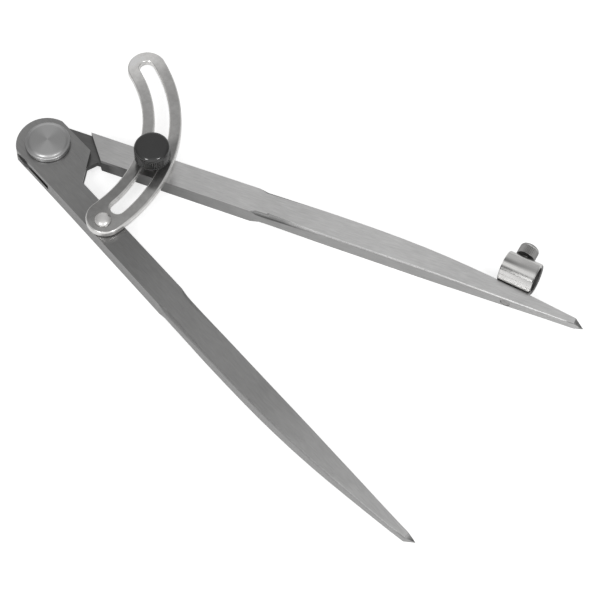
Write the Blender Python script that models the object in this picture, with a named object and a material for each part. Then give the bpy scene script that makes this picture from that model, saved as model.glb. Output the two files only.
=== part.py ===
"""Wing divider: two steel legs on a riveted fork and tongue head, a slotted arc wing with its
thumb screw, and a pencil sleeve with its clamp screw.

Units are metres. The origin is on the pivot axis at the back plane, +Z is through the
thickness towards the rivet heads, and +X is the fork leg's closing line, from the pivot to its
point. Each leg is drawn in its own leg frame: x along the closing line, y away from it.
"""

import math

import bmesh
import bpy
from mathutils import Vector

# Both legs
LEG_LENGTH = 0.190
LEG_THICKNESS = 0.006175
LEG_INNER_EDGE = 0.0004
BLADE_START = 0.0730
BLADE_INNER_EDGE = 0.00055
BLADE_OUTER_EDGE = 0.0102
BLADE_START_OUTER = 0.00995
CHAMFER_HEIGHT = 0.0016
INNER_CHAMFER = 0.0016
OUTER_CHAMFER = 0.0011
TIP_ACROSS = 0.0004
REST_OPENING = math.radians(28.637)

# Head of the legs
HEAD_RADIUS = 0.0108
HEAD_INNER_DROP = 0.0011
HEAD_EDGE_DROP = 0.0012
HEAD_END = 0.0230
CHEEK_FLAT_DROP = 0.0005
CHEEK_CORNER_ALONG = 0.0113
CHEEK_CORNER_RISE = 0.00015
CHEEK_FOOT_ALONG = 0.0196
TONGUE_THICKNESS = 0.0020
TONGUE_CLEARANCE = 0.0001
TONGUE_FLAT_DROP = 0.0007
TONGUE_CORNER_ALONG = 0.0105
TONGUE_FOOT_ALONG = 0.01775
SHOULDER_DRAFT = 0.0007
SHOULDER_TOP_ALONG = 0.01165
SHOULDER_FOOT_ALONG = 0.01915
SLOT_BOTTOM_OUTER_ALONG = 0.0124
SLOT_BOTTOM_INNER_ALONG = 0.0192

# Pivot rivet
PIVOT_SHANK_RADIUS = 0.0030
PIVOT_HEAD_RADIUS = 0.00765
PIVOT_HEAD_HEIGHT = 0.00265
PIVOT_RIM_HEIGHT = 0.0012
PIVOT_CLEARANCE = 0.0001

# Wing and its rivet
WING_CENTRE_ALONG = -0.0116
WING_CENTRE_ACROSS = -0.0035
WING_RADIUS = 0.0483
WING_WIDTH = 0.0132
WING_THICKNESS = 0.0027
WING_EDGE_ROUND = 0.0007
WING_SLOT_WIDTH = 0.00495
WING_FOOT_ANGLE = math.radians(-0.2)
WING_SLOT_LOW_ANGLE = math.radians(6.15)
WING_TOP_ANGLE = math.radians(78.65)
WING_RIVET_ALONG = 0.0374
WING_RIVET_ACROSS = -0.0052
WING_RIVET_SHANK_RADIUS = 0.0014
WING_RIVET_HEAD_RADIUS = 0.00285
WING_RIVET_HEAD_HEIGHT = 0.0015
WING_RIVET_DEPTH = 0.0045

# Thumb screw
THUMB_ALONG = 0.03635
THUMB_ACROSS = 0.0051
THUMB_SHANK_RADIUS = 0.00195
THUMB_SHANK_DEPTH = 0.0058
THUMB_NECK_RADIUS = 0.0036
THUMB_NECK_HEIGHT = 0.0029
THUMB_HEAD_RADIUS = 0.00605
THUMB_HEAD_HEIGHT = 0.0061
THUMB_SHOULDER_ROUND = 0.0015
THUMB_RIM_BEVEL = 0.0003
THREAD_CLEARANCE = 0.00006

# Pencil sleeve, its rivet and its screw
SLEEVE_BLADE_SHARE = 0.7795
SLEEVE_EDGE_SHARE = 0.588
SLEEVE_LIFT = 0.00005
SLEEVE_LENGTH = 0.0118
SLEEVE_OUTER_RADIUS = 0.0055
SLEEVE_BORE_RADIUS = 0.00415
SLEEVE_END_BEVEL = 0.0003
SLEEVE_TURN = math.radians(-6.0)
SLEEVE_RIVET_RADIUS = 0.0016
SLEEVE_RIVET_PROUD = 0.0001
PENCIL_SCREW_RADIUS = 0.00125
PENCIL_SCREW_BACK = 0.0011
PENCIL_SCREW_BITE = 0.00055
PENCIL_SCREW_GAP = 0.0013
PENCIL_SCREW_HEAD_RADIUS = 0.0033
PENCIL_SCREW_HEAD_HEIGHT = 0.0038
PENCIL_SCREW_BEVEL = 0.0007

# Gaps between neighbours
LAYER_GAP = 0.00015
HOLE_CLEARANCE = 0.00005
CUT_MARGIN = 0.0020

# Steps round a full circle
FINE_STEPS = 64
HOLE_STEPS = 40

# Steps round the quarter circle of the thumb screw's shoulder
SHOULDER_STEPS = 5

# Distance under which points are one
MERGE_DISTANCE = 0.0000002

# Blade sections, from the start of the ground edges to the foot of the point. Each row holds
# shares of: blade length, outer edge, inner edge, thickness, the two chamfer widths, and the
# chamfer height.
BLADE_SECTION_SHARES = (
    (0.026, 0.990, 0.62, 1.00, 1.00, 1.00, 0.94),
    (0.043, 0.994, 0.68, 1.00, 0.99, 0.98, 1.00),
    (0.060, 0.997, 0.74, 1.00, 0.94, 0.92, 1.00),
    (0.094, 0.996, 0.84, 1.00, 0.82, 0.84, 0.94),
    (0.128, 0.996, 0.88, 1.00, 0.68, 0.74, 0.86),
    (0.162, 0.996, 0.90, 1.00, 0.55, 0.64, 0.78),
    (0.197, 0.995, 0.95, 1.00, 0.44, 0.55, 0.68),
    (0.231, 0.990, 1.02, 1.00, 0.36, 0.49, 0.58),
    (0.299, 0.982, 1.06, 1.00, 0.31, 0.45, 0.54),
    (0.368, 0.968, 1.02, 1.00, 0.31, 0.45, 0.53),
    (0.436, 0.943, 0.96, 1.00, 0.31, 0.45, 0.52),
    (0.504, 0.900, 0.90, 1.00, 0.31, 0.44, 0.50),
    (0.573, 0.845, 0.82, 0.95, 0.30, 0.42, 0.46),
    (0.641, 0.775, 0.76, 0.87, 0.29, 0.39, 0.41),
    (0.709, 0.688, 0.68, 0.79, 0.27, 0.36, 0.36),
    (0.778, 0.586, 0.60, 0.70, 0.24, 0.32, 0.30),
    (0.846, 0.482, 0.56, 0.60, 0.20, 0.27, 0.24),
    (0.915, 0.366, 0.52, 0.54, 0.16, 0.22, 0.18),
    (0.971, 0.260, 0.50, 0.52, 0.13, 0.18, 0.15),
)

# Ground edge: shares of its width and height, from the side wall to the flat face
GROUND_EDGE_SHARES = ((0.0, 1.0), (0.30, 0.45), (1.0, 0.0))

# Domed heads: shares of the radius and of the height, from the crown outwards
DOME_SHARES = (
    (0.000, 1.000),
    (0.200, 0.992),
    (0.400, 0.966),
    (0.600, 0.925),
    (0.720, 0.887),
    (0.780, 0.857),
    (0.820, 0.819),
    (0.850, 0.774),
    (0.875, 0.728),
    (0.900, 0.698),
    (0.930, 0.668),
    (0.960, 0.623),
    (0.985, 0.547),
)
ROUND_HEAD_SHARES = (
    (0.00, 1.00),
    (0.25, 0.97),
    (0.50, 0.87),
    (0.70, 0.71),
    (0.86, 0.50),
    (0.96, 0.27),
)

# Materials: colour, roughness, metallic
FINISHES = {
    "dark_steel": ((0.16, 0.16, 0.165), 0.42, 1.0),
    "ground_steel": ((0.36, 0.36, 0.36), 0.38, 1.0),
    "plated_steel": ((0.52, 0.51, 0.50), 0.22, 1.0),
    "bright_plate": ((0.72, 0.71, 0.70), 0.14, 1.0),
    "black_oxide": ((0.018, 0.018, 0.019), 0.40, 0.6),
}


def clear_scene():
    """Empty the file before modelling."""
    for old in list(bpy.data.objects):
        bpy.data.objects.remove(old, do_unlink=True)
    for old in list(bpy.data.meshes):
        bpy.data.meshes.remove(old)


def make_materials():
    """One Principled material per finish."""
    made = {}
    for name, (colour, roughness, metallic) in FINISHES.items():
        material = bpy.data.materials.new(name)
        material.use_nodes = True
        shader = material.node_tree.nodes["Principled BSDF"]
        shader.inputs["Base Color"].default_value = (*colour, 1.0)
        shader.inputs["Roughness"].default_value = roughness
        shader.inputs["Metallic"].default_value = metallic
        made[name] = material
    return made


def finish_mesh(name, mesh_edit):
    """Weld doubles, turn faces outwards and give back a new object."""
    bmesh.ops.remove_doubles(mesh_edit, verts=mesh_edit.verts, dist=MERGE_DISTANCE)
    bmesh.ops.recalc_face_normals(mesh_edit, faces=mesh_edit.faces)
    mesh = bpy.data.meshes.new(name)
    mesh_edit.to_mesh(mesh)
    mesh_edit.free()
    made = bpy.data.objects.new(name, mesh)
    bpy.context.scene.collection.objects.link(made)
    return made


def place(piece, spot, turn):
    """Set a piece's position and Euler turn."""
    piece.location = spot
    piece.rotation_euler = turn
    return piece


def as_cutter(piece):
    """Hide a cutting tool from the finished model."""
    piece.hide_render = True
    piece.display_type = "WIRE"
    return piece


def cut(piece, tool):
    """Cut a tool's shape out of a piece."""
    modifier = piece.modifiers.new("cut_" + tool.name, "BOOLEAN")
    modifier.operation = "DIFFERENCE"
    modifier.solver = "EXACT"
    modifier.object = tool


def round_off(piece, width, steps):
    """Round every sharp edge of a piece."""
    modifier = piece.modifiers.new("round", "BEVEL")
    modifier.width = width
    modifier.segments = steps
    modifier.limit_method = "ANGLE"
    modifier.angle_limit = math.radians(40)


def shade_round(piece):
    """Smooth shading with sharp edges kept."""
    for face in piece.data.polygons:
        face.use_smooth = True
    piece.data.set_sharp_from_angle(angle=math.radians(35))


def prism(name, outline, low, high):
    """Solid of a flat outline between two heights."""
    mesh_edit = bmesh.new()
    ring = [mesh_edit.verts.new((along, across, low)) for along, across in outline]
    floor = mesh_edit.faces.new(ring)
    raised = bmesh.ops.extrude_face_region(mesh_edit, geom=[floor])
    moved = [item for item in raised["geom"] if isinstance(item, bmesh.types.BMVert)]
    bmesh.ops.translate(mesh_edit, verts=moved, vec=Vector((0.0, 0.0, high - low)))
    return finish_mesh(name, mesh_edit)


def turned(name, profile, steps):
    """Solid of revolution about Z from a closed profile of (radius, height) points."""
    mesh_edit = bmesh.new()
    ring = [mesh_edit.verts.new((radius, 0.0, height)) for radius, height in profile]
    edges = [mesh_edit.edges.new((ring[k], ring[k + 1])) for k in range(len(ring) - 1)]
    bmesh.ops.spin(
        mesh_edit,
        geom=ring + edges,
        axis=(0.0, 0.0, 1.0),
        cent=(0.0, 0.0, 0.0),
        angle=math.tau,
        steps=steps,
        use_merge=True,
        use_duplicate=False,
    )
    return finish_mesh(name, mesh_edit)


def rod(name, radius, low, high, steps):
    """Plain cylinder about Z between two heights."""
    return turned(name, [(0.0, high), (radius, high), (radius, low), (0.0, low)], steps)


def arc_points(centre, radius, first, last, steps):
    """Points on an arc, both ends included."""
    return [
        (
            centre[0] + radius * math.cos(first + (last - first) * k / steps),
            centre[1] + radius * math.sin(first + (last - first) * k / steps),
        )
        for k in range(steps + 1)
    ]


def head_inner_radius():
    """Radius of the head's back corner on the inner side."""
    return HEAD_RADIUS - HEAD_INNER_DROP


def leg_outer_edge():
    """Distance of the leg's outer edge from its closing line, next to the head."""
    return HEAD_RADIUS - HEAD_EDGE_DROP


def head_outline(flat, corner_along, corner_across, foot_along):
    """Outline of a leg's head in its leg frame, from the blade's inner corner round the back."""
    flat_angle = math.pi + math.asin(flat / head_inner_radius())
    edge_angle = math.pi - math.asin(leg_outer_edge() / HEAD_RADIUS)
    inner_centre = (-HEAD_INNER_DROP, 0.0)
    steps = FINE_STEPS // 4
    inner_arc = arc_points(inner_centre, head_inner_radius(), flat_angle, math.pi, steps)
    outer_arc = arc_points((0.0, 0.0), HEAD_RADIUS, math.pi, edge_angle, steps)
    front = [
        (HEAD_END, LEG_INNER_EDGE),
        (foot_along, LEG_INNER_EDGE),
        (corner_along, -corner_across),
    ]
    return front + inner_arc + outer_arc[1:] + [(HEAD_END, leg_outer_edge())]


def blade_section(along, inner, outer, thickness, inner_width, outer_width, chamfer_height):
    """Corners of a leg's section, its four ground edges included."""
    middle = LEG_THICKNESS / 2
    corners = (
        (inner, inner_width, -1),
        (outer, -outer_width, -1),
        (outer, -outer_width, 1),
        (inner, inner_width, 1),
    )
    section = []
    for number, (edge, width, face) in enumerate(corners):
        steps = GROUND_EDGE_SHARES if number % 2 == 0 else GROUND_EDGE_SHARES[::-1]
        for out_share, up_share in steps:
            up = middle + face * (thickness / 2 - chamfer_height * up_share)
            section.append((along, edge + width * out_share, up))
    return section


def blade_sections():
    """Sections from the head to the foot of the ground point."""
    sections = []
    for along, outer in ((HEAD_END, leg_outer_edge()), (BLADE_START, BLADE_START_OUTER)):
        sections.append(blade_section(along, LEG_INNER_EDGE, outer, LEG_THICKNESS, 0.0, 0.0, 0.0))
    reach = LEG_LENGTH - BLADE_START
    for spot, outer, inner, thick, inner_ground, outer_ground, height in BLADE_SECTION_SHARES:
        sections.append(
            blade_section(
                BLADE_START + reach * spot,
                BLADE_INNER_EDGE * inner,
                BLADE_OUTER_EDGE * outer,
                LEG_THICKNESS * thick,
                INNER_CHAMFER * inner_ground,
                OUTER_CHAMFER * outer_ground,
                CHAMFER_HEIGHT * height,
            )
        )
    return sections


def leg_body(name, low_outline, high_outline, side):
    """Head and tapering blade of one leg as a single closed shell.

    side is +1 where the leg's outer edge is at +y and -1 where it is at -y.
    """
    mesh_edit = bmesh.new()
    low_ring = [mesh_edit.verts.new((along, side * across, 0.0)) for along, across in low_outline]
    high_ring = [
        mesh_edit.verts.new((along, side * across, LEG_THICKNESS)) for along, across in high_outline
    ]
    mesh_edit.faces.new(low_ring)
    mesh_edit.faces.new(high_ring)
    for k in range(len(low_ring) - 1):
        mesh_edit.faces.new((low_ring[k], low_ring[k + 1], high_ring[k + 1], high_ring[k]))
    rings = []
    for section in blade_sections():
        rings.append(
            [mesh_edit.verts.new((along, side * across, up)) for along, across, up in section]
        )
    for near, far in zip(rings, rings[1:]):
        for k in range(len(near)):
            after = (k + 1) % len(near)
            mesh_edit.faces.new((near[k], near[after], far[after], far[k]))
    tip = mesh_edit.verts.new((LEG_LENGTH, side * TIP_ACROSS, LEG_THICKNESS / 2))
    last = rings[-1]
    for k in range(len(last)):
        mesh_edit.faces.new((last[k], last[(k + 1) % len(last)], tip))
    return finish_mesh(name, mesh_edit)


def tongue_low():
    """Height of the tongue's lower face."""
    return (LEG_THICKNESS - TONGUE_THICKNESS) / 2


def tongue_high():
    """Height of the tongue's upper face."""
    return (LEG_THICKNESS + TONGUE_THICKNESS) / 2


def wing_low():
    """Height of the wing's lower face."""
    return LEG_THICKNESS + LAYER_GAP


def wing_high():
    """Height of the wing's upper face."""
    return wing_low() + WING_THICKNESS


def build_fork_leg(materials):
    """Leg with the forked head."""
    flat = head_inner_radius() - CHEEK_FLAT_DROP
    outlines = [
        head_outline(
            flat,
            CHEEK_CORNER_ALONG - draft,
            flat + CHEEK_CORNER_RISE,
            CHEEK_FOOT_ALONG - draft,
        )
        for draft in (SHOULDER_DRAFT, 0.0)
    ]
    leg = leg_body("fork_leg", *outlines, -1)
    rise = SLOT_BOTTOM_INNER_ALONG - SLOT_BOTTOM_OUTER_ALONG
    run = leg_outer_edge()
    reach = HEAD_RADIUS + CUT_MARGIN
    slope = rise / run
    slot_outline = [
        (-reach, -reach),
        (SLOT_BOTTOM_INNER_ALONG - slope * reach, -reach),
        (SLOT_BOTTOM_INNER_ALONG + slope * reach, reach),
        (-reach, reach),
    ]
    slot = as_cutter(
        prism(
            "fork_slot_tool",
            slot_outline,
            tongue_low() - TONGUE_CLEARANCE,
            tongue_high() + TONGUE_CLEARANCE,
        )
    )
    bore = as_cutter(
        rod(
            "fork_pivot_tool",
            PIVOT_SHANK_RADIUS + HOLE_CLEARANCE,
            -CUT_MARGIN,
            LEG_THICKNESS + CUT_MARGIN,
            HOLE_STEPS,
        )
    )
    wing_hole = as_cutter(
        rod(
            "fork_wing_tool",
            WING_RIVET_SHANK_RADIUS + HOLE_CLEARANCE,
            LEG_THICKNESS - WING_RIVET_DEPTH - HOLE_CLEARANCE,
            LEG_THICKNESS + CUT_MARGIN,
            HOLE_STEPS,
        )
    )
    wing_hole.location = (WING_RIVET_ALONG, WING_RIVET_ACROSS, 0.0)
    for tool in (slot, bore, wing_hole):
        cut(leg, tool)
    leg.data.materials.append(materials["dark_steel"])
    shade_round(leg)


def build_tongue_leg(materials):
    """Leg with the thin tongue that turns between the fork's cheeks."""
    flat = head_inner_radius() - TONGUE_FLAT_DROP
    outline = head_outline(flat, TONGUE_CORNER_ALONG, flat, TONGUE_FOOT_ALONG)
    leg = place(leg_body("tongue_leg", outline, outline, 1), (0.0, 0.0, 0.0), (0.0, 0.0, REST_OPENING))
    reach = HEAD_RADIUS + CUT_MARGIN
    slope = (SHOULDER_FOOT_ALONG - SHOULDER_TOP_ALONG) / (leg_outer_edge() - LEG_INNER_EDGE)
    layer_outline = [
        (-reach, -reach),
        (SHOULDER_FOOT_ALONG + slope * (reach + LEG_INNER_EDGE), -reach),
        (SHOULDER_FOOT_ALONG - slope * (reach - LEG_INNER_EDGE), reach),
        (-reach, reach),
    ]
    layers = (
        ("tongue_under_tool", -CUT_MARGIN, tongue_low()),
        ("tongue_over_tool", tongue_high(), LEG_THICKNESS + CUT_MARGIN),
    )
    for name, low, high in layers:
        tool = as_cutter(prism(name, layer_outline, low, high))
        tool.rotation_euler = (0.0, 0.0, REST_OPENING)
        cut(leg, tool)
    bore = as_cutter(
        rod(
            "tongue_pivot_tool",
            PIVOT_SHANK_RADIUS + PIVOT_CLEARANCE,
            -CUT_MARGIN,
            LEG_THICKNESS + CUT_MARGIN,
            HOLE_STEPS,
        )
    )
    cut(leg, bore)
    thread = as_cutter(
        rod(
            "tongue_thread_tool",
            THUMB_SHANK_RADIUS + THREAD_CLEARANCE,
            -CUT_MARGIN,
            LEG_THICKNESS + CUT_MARGIN,
            HOLE_STEPS,
        )
    )
    thread.location = thumb_spot()
    cut(leg, thread)
    rivet_hole = as_cutter(
        rod(
            "tongue_rivet_tool",
            SLEEVE_RIVET_RADIUS + HOLE_CLEARANCE,
            -sleeve_across() - CUT_MARGIN,
            CUT_MARGIN,
            HOLE_STEPS,
        )
    )
    place(rivet_hole, sleeve_spot(LEG_THICKNESS / 2), across_turn())
    cut(leg, rivet_hole)
    saddle_half = SLEEVE_LENGTH / 2 + LAYER_GAP
    saddle = as_cutter(
        rod(
            "tongue_saddle_tool",
            SLEEVE_OUTER_RADIUS + LAYER_GAP,
            -saddle_half,
            saddle_half,
            FINE_STEPS,
        )
    )
    place(saddle, sleeve_spot(sleeve_height()), along_turn())
    cut(leg, saddle)
    leg.data.materials.append(materials["ground_steel"])
    shade_round(leg)


def from_tongue_frame(along, across, up):
    """World position of a point given in the tongue leg's frame."""
    turn_cos = math.cos(REST_OPENING)
    turn_sin = math.sin(REST_OPENING)
    return (turn_cos * along - turn_sin * across, turn_sin * along + turn_cos * across, up)


def thumb_spot():
    """Foot of the thumb screw's axis on the back plane."""
    return from_tongue_frame(THUMB_ALONG, THUMB_ACROSS, 0.0)


def sleeve_across():
    """Distance of the sleeve's axis from the closing line: it touches the blade's outer edge."""
    return BLADE_OUTER_EDGE * SLEEVE_EDGE_SHARE + SLEEVE_OUTER_RADIUS


def sleeve_height():
    """Height of the sleeve's axis above the back plane."""
    return SLEEVE_OUTER_RADIUS + SLEEVE_LIFT


def sleeve_rivet_end():
    """Distance from the sleeve's axis to the rivet's end, in the middle of the sleeve's wall."""
    wall_middle = (SLEEVE_OUTER_RADIUS + SLEEVE_BORE_RADIUS) / 2
    return math.sqrt(wall_middle**2 - (sleeve_height() - LEG_THICKNESS / 2) ** 2)


def sleeve_spot(up):
    """Point above or below the sleeve's middle at a given height."""
    along = BLADE_START + (LEG_LENGTH - BLADE_START) * SLEEVE_BLADE_SHARE
    return from_tongue_frame(along, sleeve_across(), up)


def screw_spot():
    """Point on the sleeve's axis that the pencil screw's axis passes through."""
    middle = Vector(sleeve_spot(sleeve_height()))
    heading = REST_OPENING + SLEEVE_TURN
    return middle - PENCIL_SCREW_BACK * Vector((math.cos(heading), math.sin(heading), 0.0))


def along_turn():
    """Turn that lays a Z axis along the sleeve, pointing towards the leg's point."""
    return (0.0, math.pi / 2, REST_OPENING + SLEEVE_TURN)


def across_turn():
    """Turn that lays a Z axis square across the sleeve, pointing away from the leg."""
    return (-math.pi / 2, 0.0, REST_OPENING + SLEEVE_TURN)


def build_pivot_rivet(materials):
    """Domed rivet through cheeks and tongue, its lower end flush with the back."""
    seat = LEG_THICKNESS + LAYER_GAP
    profile = [
        (PIVOT_HEAD_RADIUS * out, seat + PIVOT_HEAD_HEIGHT * up) for out, up in DOME_SHARES
    ]
    profile += [
        (PIVOT_HEAD_RADIUS, seat + PIVOT_RIM_HEIGHT),
        (PIVOT_HEAD_RADIUS, seat),
        (PIVOT_SHANK_RADIUS, seat),
        (PIVOT_SHANK_RADIUS, 0.0),
        (0.0, 0.0),
    ]
    rivet = turned("pivot_rivet", profile, FINE_STEPS)
    rivet.data.materials.append(materials["plated_steel"])
    shade_round(rivet)


def wing_outline(half_width, low_angle, high_angle):
    """Curved slot shape about the wing's centre line, in the wing rivet's frame."""
    centre = (WING_CENTRE_ALONG - WING_RIVET_ALONG, WING_CENTRE_ACROSS - WING_RIVET_ACROSS)
    foot = arc_points(centre, WING_RADIUS, low_angle, high_angle, 1)
    long_steps = FINE_STEPS // 2
    end_steps = FINE_STEPS // 4
    outer = arc_points(centre, WING_RADIUS + half_width, low_angle, high_angle, long_steps)
    top = arc_points(foot[1], half_width, high_angle, high_angle + math.pi, end_steps)
    inner = arc_points(centre, WING_RADIUS - half_width, high_angle, low_angle, long_steps)
    bottom = arc_points(foot[0], half_width, low_angle - math.pi, low_angle, end_steps)
    return outer + top[1:] + inner[1:] + bottom[1:-1]


def build_wing(materials):
    """Slotted arc plate, turning on the wing rivet."""
    outline = wing_outline(WING_WIDTH / 2, WING_FOOT_ANGLE, WING_TOP_ANGLE)
    wing = prism("wing", outline, wing_low(), wing_high())
    slot_shape = wing_outline(WING_SLOT_WIDTH / 2, WING_SLOT_LOW_ANGLE, WING_TOP_ANGLE)
    slot = prism("wing_slot_tool", slot_shape, wing_low() - CUT_MARGIN, wing_high() + CUT_MARGIN)
    hole = rod(
        "wing_hole_tool",
        WING_RIVET_SHANK_RADIUS + HOLE_CLEARANCE,
        wing_low() - CUT_MARGIN,
        wing_high() + CUT_MARGIN,
        HOLE_STEPS,
    )
    spot = (WING_RIVET_ALONG, WING_RIVET_ACROSS, 0.0)
    for piece in (wing, as_cutter(slot), as_cutter(hole)):
        piece.location = spot
    cut(wing, slot)
    round_off(wing, WING_EDGE_ROUND, 3)
    cut(wing, hole)
    wing.data.materials.append(materials["plated_steel"])
    shade_round(wing)


def build_wing_rivet(materials):
    """Round-headed rivet set into the fork leg."""
    seat = wing_high() + LAYER_GAP
    profile = [
        (WING_RIVET_HEAD_RADIUS * out, seat + WING_RIVET_HEAD_HEIGHT * up)
        for out, up in ROUND_HEAD_SHARES
    ]
    profile += [
        (WING_RIVET_HEAD_RADIUS, seat),
        (WING_RIVET_SHANK_RADIUS, seat),
        (WING_RIVET_SHANK_RADIUS, LEG_THICKNESS - WING_RIVET_DEPTH),
        (0.0, LEG_THICKNESS - WING_RIVET_DEPTH),
    ]
    rivet = turned("wing_rivet", profile, HOLE_STEPS)
    rivet.location = (WING_RIVET_ALONG, WING_RIVET_ACROSS, 0.0)
    rivet.data.materials.append(materials["bright_plate"])
    shade_round(rivet)


def build_thumb_screw(materials):
    """Thumb screw: head, neck that bears on the wing, and threaded shank."""
    seat = wing_high() + LAYER_GAP
    head_low = seat + THUMB_NECK_HEIGHT
    head_high = head_low + THUMB_HEAD_HEIGHT
    shoulder = (THUMB_HEAD_RADIUS - THUMB_SHOULDER_ROUND, head_high - THUMB_SHOULDER_ROUND)
    round_points = arc_points(shoulder, THUMB_SHOULDER_ROUND, math.pi / 2, 0.0, SHOULDER_STEPS)
    profile = [(0.0, head_high)] + round_points
    profile += [
        (THUMB_HEAD_RADIUS, head_low + THUMB_RIM_BEVEL),
        (THUMB_HEAD_RADIUS - THUMB_RIM_BEVEL, head_low),
        (THUMB_NECK_RADIUS, head_low),
        (THUMB_NECK_RADIUS, seat),
        (THUMB_SHANK_RADIUS, seat),
        (THUMB_SHANK_RADIUS, LEG_THICKNESS - THUMB_SHANK_DEPTH),
        (0.0, LEG_THICKNESS - THUMB_SHANK_DEPTH),
    ]
    screw = turned("thumb_screw", profile, FINE_STEPS)
    screw.location = thumb_spot()
    screw.data.materials.append(materials["black_oxide"])
    shade_round(screw)


def build_pencil_sleeve(materials):
    """Tube for a pencil, with a screw hole on its far side and a rivet seat on its near side."""
    half = SLEEVE_LENGTH / 2
    outer = SLEEVE_OUTER_RADIUS
    bore = SLEEVE_BORE_RADIUS
    bevel = SLEEVE_END_BEVEL
    profile = [
        (bore + bevel, half),
        (outer - bevel, half),
        (outer, half - bevel),
        (outer, bevel - half),
        (outer - bevel, -half),
        (bore + bevel, -half),
        (bore, bevel - half),
        (bore, half - bevel),
        (bore + bevel, half),
    ]
    sleeve = turned("pencil_sleeve", profile, FINE_STEPS)
    place(sleeve, sleeve_spot(sleeve_height()), along_turn())
    screw_hole = as_cutter(
        rod(
            "sleeve_thread_tool",
            PENCIL_SCREW_RADIUS + THREAD_CLEARANCE,
            0.0,
            outer + CUT_MARGIN,
            HOLE_STEPS,
        )
    )
    place(screw_hole, screw_spot(), across_turn())
    cut(sleeve, screw_hole)
    rivet_seat = as_cutter(
        rod(
            "sleeve_seat_tool",
            SLEEVE_RIVET_RADIUS + HOLE_CLEARANCE,
            -outer - CUT_MARGIN,
            -sleeve_rivet_end() + HOLE_CLEARANCE,
            HOLE_STEPS,
        )
    )
    place(rivet_seat, sleeve_spot(LEG_THICKNESS / 2), across_turn())
    cut(sleeve, rivet_seat)
    sleeve.data.materials.append(materials["bright_plate"])
    shade_round(sleeve)


def build_sleeve_rivet(materials):
    """Rivet through the tongue leg's width into the sleeve's wall."""
    inner_end = (BLADE_INNER_EDGE - sleeve_across() - SLEEVE_RIVET_PROUD) / math.cos(SLEEVE_TURN)
    rivet = rod("sleeve_rivet", SLEEVE_RIVET_RADIUS, inner_end, -sleeve_rivet_end(), HOLE_STEPS)
    place(rivet, sleeve_spot(LEG_THICKNESS / 2), across_turn())
    rivet.data.materials.append(materials["ground_steel"])
    shade_round(rivet)


def build_pencil_screw(materials):
    """Small screw through the sleeve's far wall."""
    tip = SLEEVE_BORE_RADIUS - PENCIL_SCREW_BITE
    head_low = SLEEVE_OUTER_RADIUS + PENCIL_SCREW_GAP
    head_high = head_low + PENCIL_SCREW_HEAD_HEIGHT
    profile = [
        (0.0, head_high),
        (PENCIL_SCREW_HEAD_RADIUS - PENCIL_SCREW_BEVEL, head_high),
        (PENCIL_SCREW_HEAD_RADIUS, head_high - PENCIL_SCREW_BEVEL),
        (PENCIL_SCREW_HEAD_RADIUS, head_low),
        (PENCIL_SCREW_RADIUS, head_low),
        (PENCIL_SCREW_RADIUS, tip),
        (0.0, tip),
    ]
    screw = turned("pencil_screw", profile, HOLE_STEPS)
    place(screw, screw_spot(), across_turn())
    screw.data.materials.append(materials["black_oxide"])
    shade_round(screw)


def main():
    """Build every piece."""
    clear_scene()
    materials = make_materials()
    build_fork_leg(materials)
    build_tongue_leg(materials)
    build_pivot_rivet(materials)
    build_wing(materials)
    build_wing_rivet(materials)
    build_thumb_screw(materials)
    build_pencil_sleeve(materials)
    build_sleeve_rivet(materials)
    build_pencil_screw(materials)


main()
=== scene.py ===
# %% [markdown]
# # A wing divider
#
# A wing divider scribes circles and steps off equal lengths. Two flat steel legs turn on a
# riveted fork and tongue joint, a slotted arc plate called the wing holds them at the wanted
# opening, and a short sleeve near one point takes a pencil.
#
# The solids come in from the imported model. This lesson gives them soft edges, knurls, threads,
# real surfaces and light. Everything is in metres, and nothing is moved.

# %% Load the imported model
import math

import bmesh
import bpy
from mathutils import Matrix, Vector


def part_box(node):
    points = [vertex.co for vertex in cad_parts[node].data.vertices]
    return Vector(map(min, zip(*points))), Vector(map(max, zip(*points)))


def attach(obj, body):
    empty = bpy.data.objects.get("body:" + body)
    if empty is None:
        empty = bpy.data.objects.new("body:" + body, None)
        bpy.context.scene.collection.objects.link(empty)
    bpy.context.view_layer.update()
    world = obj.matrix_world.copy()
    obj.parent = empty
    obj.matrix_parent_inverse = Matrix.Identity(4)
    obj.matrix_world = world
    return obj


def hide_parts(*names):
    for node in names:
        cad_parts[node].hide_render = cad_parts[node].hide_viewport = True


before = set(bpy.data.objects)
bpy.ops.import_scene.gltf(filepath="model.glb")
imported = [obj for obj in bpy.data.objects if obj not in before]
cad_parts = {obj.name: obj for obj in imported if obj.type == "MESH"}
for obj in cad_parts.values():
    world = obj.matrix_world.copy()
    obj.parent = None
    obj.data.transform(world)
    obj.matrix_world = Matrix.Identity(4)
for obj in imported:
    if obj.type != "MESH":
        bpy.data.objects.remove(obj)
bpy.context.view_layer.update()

print("solids:", sorted(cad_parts))

# %% [markdown]
# ## Camera
#
# The picture looks down on the tool from 59 degrees above the table with a long lens, so
# parallel edges stay nearly parallel. The camera is aimed at a spot on the table, and its up
# direction is the world's, which keeps the horizon level.

# %% Camera
CAMERA_SPOT = Vector((0.4535, -0.2640, 0.7733))
AIM_SPOT = Vector((0.0982, 0.0288, 0.0))
LENS_MM = 164.96
SENSOR_MM = 36.0

camera_data = bpy.data.cameras.new("camera")
camera_data.lens = LENS_MM
camera_data.sensor_width = SENSOR_MM
camera_data.clip_start = 0.05
camera_data.clip_end = 20.0
camera = bpy.data.objects.new("camera", camera_data)
camera.location = CAMERA_SPOT
camera.rotation_euler = (AIM_SPOT - CAMERA_SPOT).to_track_quat("-Z", "Y").to_euler()
bpy.context.scene.collection.objects.link(camera)
bpy.context.scene.camera = camera

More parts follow.
